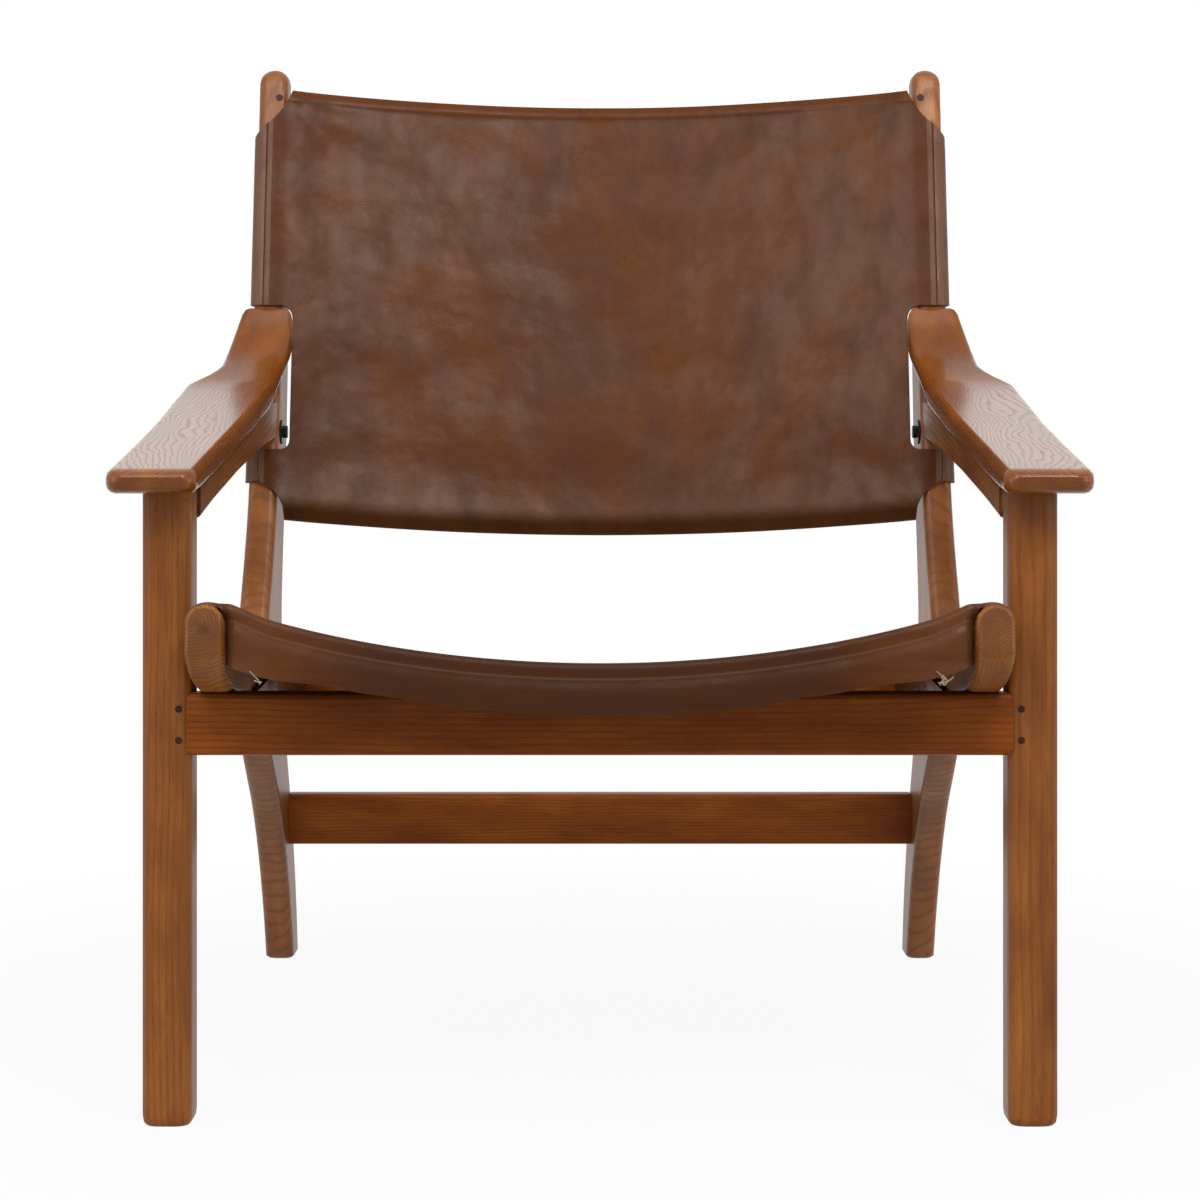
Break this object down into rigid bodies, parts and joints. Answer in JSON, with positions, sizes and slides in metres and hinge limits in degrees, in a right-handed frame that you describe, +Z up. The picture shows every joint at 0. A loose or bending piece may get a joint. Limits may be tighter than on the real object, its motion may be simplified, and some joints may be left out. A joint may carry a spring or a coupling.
{
  "type": "leather sling lounge chair",
  "caption": "Low lounge chair with a solid hardwood frame, wide paddle arms, swept rear legs, and thick leather slings stretched as seat and back.",
  "frame": {"origin": "centre of the bounding box's footprint, on the floor", "axes": "+Z up; -Y towards the front, where the sitter's knees are; +X to the right of someone who looks at the chair from the front"},
  "size_m": [0.7298, 0.7419, 0.8358],
  "materials": {
    "oiled_wood": "oiled, satin",
    "leather": "waxed, semi-gloss, mottled",
    "black_steel": "black, satin",
    "dark_wood": "dark end grain, matt"
  },
  "bodies": {
    "root": {"front_leg_right": "oiled_wood", "front_leg_left": "oiled_wood", "rear_leg_right": "oiled_wood", "rear_leg_left": "oiled_wood", "armrest_right": "oiled_wood", "armrest_left": "oiled_wood", "arm_rail_right": "oiled_wood", "arm_rail_left": "oiled_wood", "seat_rail_right": "oiled_wood", "seat_rail_left": "oiled_wood", "front_rail": "oiled_wood", "rear_stretcher": "oiled_wood", "seat_cross_rail": "oiled_wood", "back_sling": "leather", "seat_sling": "leather", "front_peg_1_right": "dark_wood", "front_peg_1_left": "dark_wood", "front_peg_2_right": "dark_wood", "front_peg_2_left": "dark_wood", "post_plug_right": "dark_wood", "post_plug_left": "dark_wood", "arm_screw_1_right": "black_steel", "arm_screw_1_left": "black_steel", "arm_screw_2_right": "black_steel", "arm_screw_2_left": "black_steel", "seat_screw_right": "black_steel", "seat_screw_left": "black_steel", "arm_bolt_right": "black_steel", "arm_bolt_left": "black_steel", "arm_washer_right": "black_steel", "arm_washer_left": "black_steel", "arm_nut_right": "black_steel", "arm_nut_left": "black_steel", "seat_bolt_right": "black_steel", "seat_bolt_left": "black_steel", "seat_washer_right": "black_steel", "seat_washer_left": "black_steel", "seat_nut_right": "black_steel", "seat_nut_left": "black_steel"}
  },
  "joints": []
}
